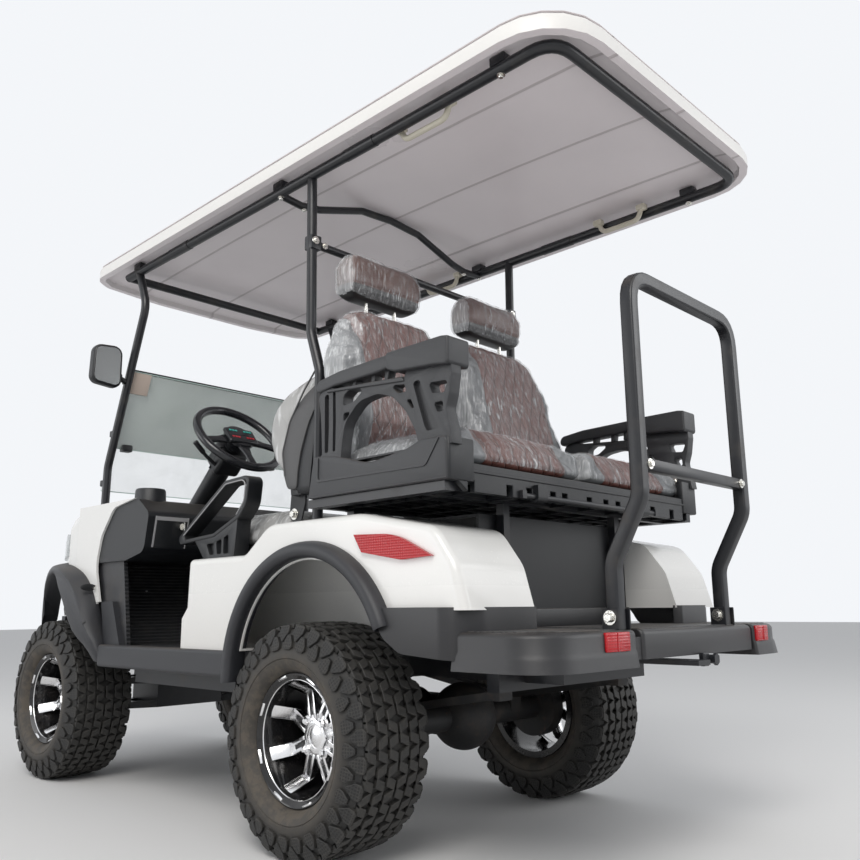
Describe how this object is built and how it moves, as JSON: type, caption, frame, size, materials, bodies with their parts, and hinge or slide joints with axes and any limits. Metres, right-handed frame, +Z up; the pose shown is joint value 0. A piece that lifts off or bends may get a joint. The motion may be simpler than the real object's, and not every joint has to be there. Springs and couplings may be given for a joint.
{
  "type": "golf cart",
  "caption": "Lifted electric golf cart with a roof, folding windshield, front bench, rear-facing flip seat, footplate and grab bar.",
  "frame": {"origin": "on the ground under the middle of the whole cart", "axes": "+Z up, +Y forward, +X to the cart's right"},
  "size_m": [1.292, 2.907, 2.031],
  "materials": {
    "white_body": "gloss",
    "roof_white": "satin",
    "black_frame": "satin",
    "axle_steel": "matte",
    "grey_trim": "grained",
    "black_trim": "matte",
    "battery_case": "matte",
    "tyre_rubber": "matte",
    "alloy": "machined",
    "brown_leather": "satin",
    "grey_leather": "satin",
    "clear_glass": "clear",
    "clear_lens": "gloss",
    "red_lens": "gloss"
  },
  "bodies": {
    "cart": {"front_cowl": "white_body", "rear_fenders": "white_body", "roof_panel": "roof_white", "chassis_frame": "black_frame", "front_suspension": "black_frame", "roof_frame": "black_frame", "roof_pillars": "black_frame", "grab_bar": "black_frame", "rear_seat_frame": "black_frame", "front_seat_loops": "black_frame", "rear_axle": "axle_steel", "rear_leaf_springs": "axle_steel", "wheel_flares": "grey_trim", "sills": "grey_trim", "rear_bumper": "grey_trim", "front_bumper": "grey_trim", "footplate": "grey_trim", "rear_armrests": "grey_trim", "dashboard": "black_trim", "floor_pan": "black_trim", "seat_box": "black_trim", "steering_column": "black_trim", "mirrors": "black_trim", "front_seat_shells": "black_trim", "battery_pack": "battery_case", "rear_seat_backs": "brown_leather", "rear_headrests": "brown_leather", "front_seat_backs": "grey_leather", "windshield": "clear_glass", "headlamps": "clear_lens", "tail_lamps": "red_lens"},
    "knuckle_left": {"knuckle_left": "axle_steel"},
    "knuckle_right": {"knuckle_right": "axle_steel"},
    "wheel_front_left": {"rim_front_left": "alloy", "tyre_front_left": "tyre_rubber"},
    "wheel_front_right": {"rim_front_right": "alloy", "tyre_front_right": "tyre_rubber"},
    "wheel_rear_left": {"rim_rear_left": "alloy", "tyre_rear_left": "tyre_rubber"},
    "wheel_rear_right": {"rim_rear_right": "alloy", "tyre_rear_right": "tyre_rubber"},
    "steering": {"steering_wheel": "black_trim"},
    "front_seat_lid": {"front_seat_cushion": "grey_leather"},
    "rear_seat_lid": {"rear_seat_pan": "black_trim", "rear_seat_cushion": "brown_leather"}
  },
  "joints": [
    {"name": "steer_left", "type": "hinge", "parent": "cart", "child": "knuckle_left", "pos_m": [-0.335, 1.0335, 0.292], "axis": [0, 0, 1], "range_deg": [-27, 27]},
    {"name": "steer_right", "type": "hinge", "parent": "cart", "child": "knuckle_right", "pos_m": [0.335, 1.0335, 0.292], "axis": [0, 0, 1], "range_deg": [-27, 27]},
    {"name": "steering_turn", "type": "hinge", "parent": "cart", "child": "steering", "pos_m": [-0.262, 0.2335, 1.235], "axis": [0, -0.7431, 0.6691], "range_deg": [-380, 380]},
    {"name": "spin_front_left", "type": "hinge", "parent": "knuckle_left", "child": "wheel_front_left", "pos_m": [-0.463, 1.0335, 0.292], "axis": [1, 0, 0], "continuous": true},
    {"name": "spin_front_right", "type": "hinge", "parent": "knuckle_right", "child": "wheel_front_right", "pos_m": [0.463, 1.0335, 0.292], "axis": [1, 0, 0], "continuous": true},
    {"name": "spin_rear_left", "type": "hinge", "parent": "cart", "child": "wheel_rear_left", "pos_m": [-0.493, -0.5665, 0.292], "axis": [1, 0, 0], "continuous": true},
    {"name": "spin_rear_right", "type": "hinge", "parent": "cart", "child": "wheel_rear_right", "pos_m": [0.493, -0.5665, 0.292], "axis": [1, 0, 0], "continuous": true},
    {"name": "rear_seat_flip", "type": "hinge", "parent": "cart", "child": "rear_seat_lid", "pos_m": [0, -1.1145, 0.888], "axis": [1, 0, 0], "range_deg": [0, 100]},
    {"name": "front_seat_lift", "type": "hinge", "parent": "cart", "child": "front_seat_lid", "pos_m": [0, -0.0205, 0.784], "axis": [-1, 0, 0], "range_deg": [0, 45]}
  ],
  "couplings": [
    {"joint": "steer_right", "follows": "steer_left", "ratio": 1},
    {"joint": "steering_turn", "follows": "steer_left", "ratio": 14}
  ]
}
